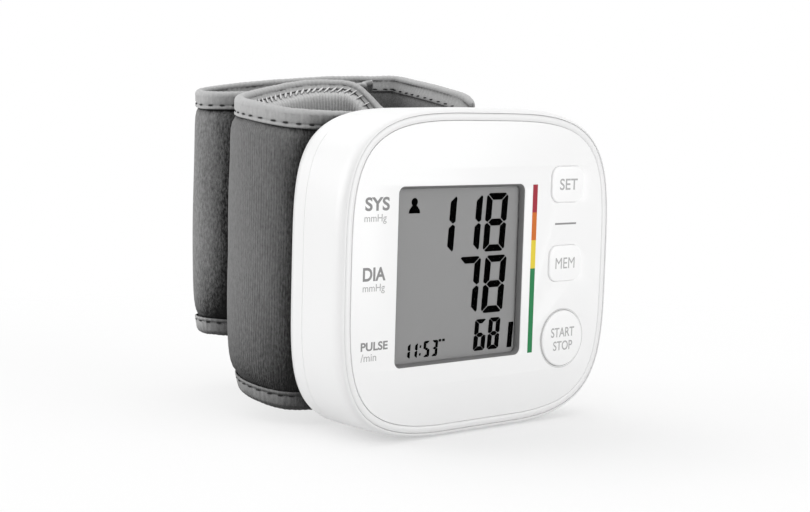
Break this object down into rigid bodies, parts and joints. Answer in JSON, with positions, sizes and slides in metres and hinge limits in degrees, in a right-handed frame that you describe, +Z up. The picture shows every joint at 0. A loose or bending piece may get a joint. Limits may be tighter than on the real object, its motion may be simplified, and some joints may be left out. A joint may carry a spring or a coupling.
{
  "type": "wrist blood pressure monitor",
  "caption": "Wrist blood pressure monitor: white rounded housing with display and keys, standing on an open grey fabric cuff that loops behind it.",
  "frame": {"origin": "middle of the housing's width and depth, on the surface that the housing stands on", "axes": "+Z up; the display faces -Y; the keys are on the +X side"},
  "size_m": [0.086, 0.087, 0.0848],
  "materials": {
    "case_white": "satin",
    "panel_white": "gloss",
    "trim_grey": "gloss",
    "window_clear": "polished",
    "lcd_grey": "satin",
    "key_white": "satin",
    "silicone": "matt",
    "board_green": "satin",
    "part_black": "satin",
    "steel": "brushed",
    "brass": "turned",
    "cell_wrap": "gloss",
    "cloth_grey": "napped",
    "cloth_binding": "woven",
    "cloth_lining": "ribbed",
    "hook_black": "hook",
    "bladder_film": "smooth",
    "stiffener_sheet": "satin"
  },
  "bodies": {
    "housing": {"front_case": "case_white", "trim_ring": "trim_grey", "front_panel": "panel_white", "display_window": "window_clear", "lcd_glass": "lcd_grey", "lcd_frame": "case_white", "zebra_strip": "silicone", "key_mat": "silicone", "main_board": "board_green", "controller_chip": "part_black", "buzzer": "part_black", "pump_motor": "steel", "pump_head": "part_black", "exhaust_valve": "steel", "air_manifold": "case_white", "pump_tube": "silicone", "valve_tube": "silicone", "pressure_sensor": "part_black", "sensor_tube": "silicone", "rear_case": "case_white", "battery_left": "cell_wrap", "battery_right": "cell_wrap", "foot_contact": "steel", "top_contact": "steel", "foot_spring": "steel", "top_spring": "steel", "case_screw_1": "steel", "case_screw_2": "steel", "case_screw_3": "steel", "case_screw_4": "steel", "cuff_retainer": "part_black", "air_nozzle": "silicone", "near_cover": "cloth_grey", "stiffener": "stiffener_sheet", "air_bladder": "bladder_film", "near_lining": "cloth_lining", "near_top_binding": "cloth_binding", "near_foot_binding": "cloth_binding"},
    "set_button": {"set_key": "key_white"},
    "mem_button": {"mem_key": "key_white"},
    "start_button": {"start_stop_key": "key_white"},
    "door": {"battery_door": "case_white"},
    "rotor": {"pump_rotor": "brass"},
    "plunger": {"valve_plunger": "steel"},
    "strap": {"strap": "cloth_grey", "strap_top_binding": "cloth_binding", "strap_foot_binding": "cloth_binding", "hook_patch": "hook_black"}
  },
  "joints": [
    {"name": "set_press", "type": "slide", "parent": "housing", "child": "set_button", "axis": [0, 1, 0], "range_m": [0, 0.0007], "stiffness_N_per_m": 900},
    {"name": "mem_press", "type": "slide", "parent": "housing", "child": "mem_button", "axis": [0, 1, 0], "range_m": [0, 0.0007], "stiffness_N_per_m": 900},
    {"name": "start_press", "type": "slide", "parent": "housing", "child": "start_button", "axis": [0, 1, 0], "range_m": [0, 0.0007], "stiffness_N_per_m": 900},
    {"name": "door_slide", "type": "slide", "parent": "housing", "child": "door", "axis": [1, 0, 0], "range_m": [0, 0.03]},
    {"name": "rotor_spin", "type": "hinge", "parent": "housing", "child": "rotor", "pos_m": [-0.0305, 0.0042, 0.03], "axis": [0, 0, 1], "continuous": true},
    {"name": "plunger_lift", "type": "slide", "parent": "housing", "child": "plunger", "axis": [0, 0, 1], "range_m": [0, 0.0006], "stiffness_N_per_m": 300},
    {"name": "strap_open", "type": "hinge", "parent": "housing", "child": "strap", "pos_m": [0.0179, 0.0156, 0.045], "axis": [0, 0, -1], "range_deg": [0, 60]}
  ]
}
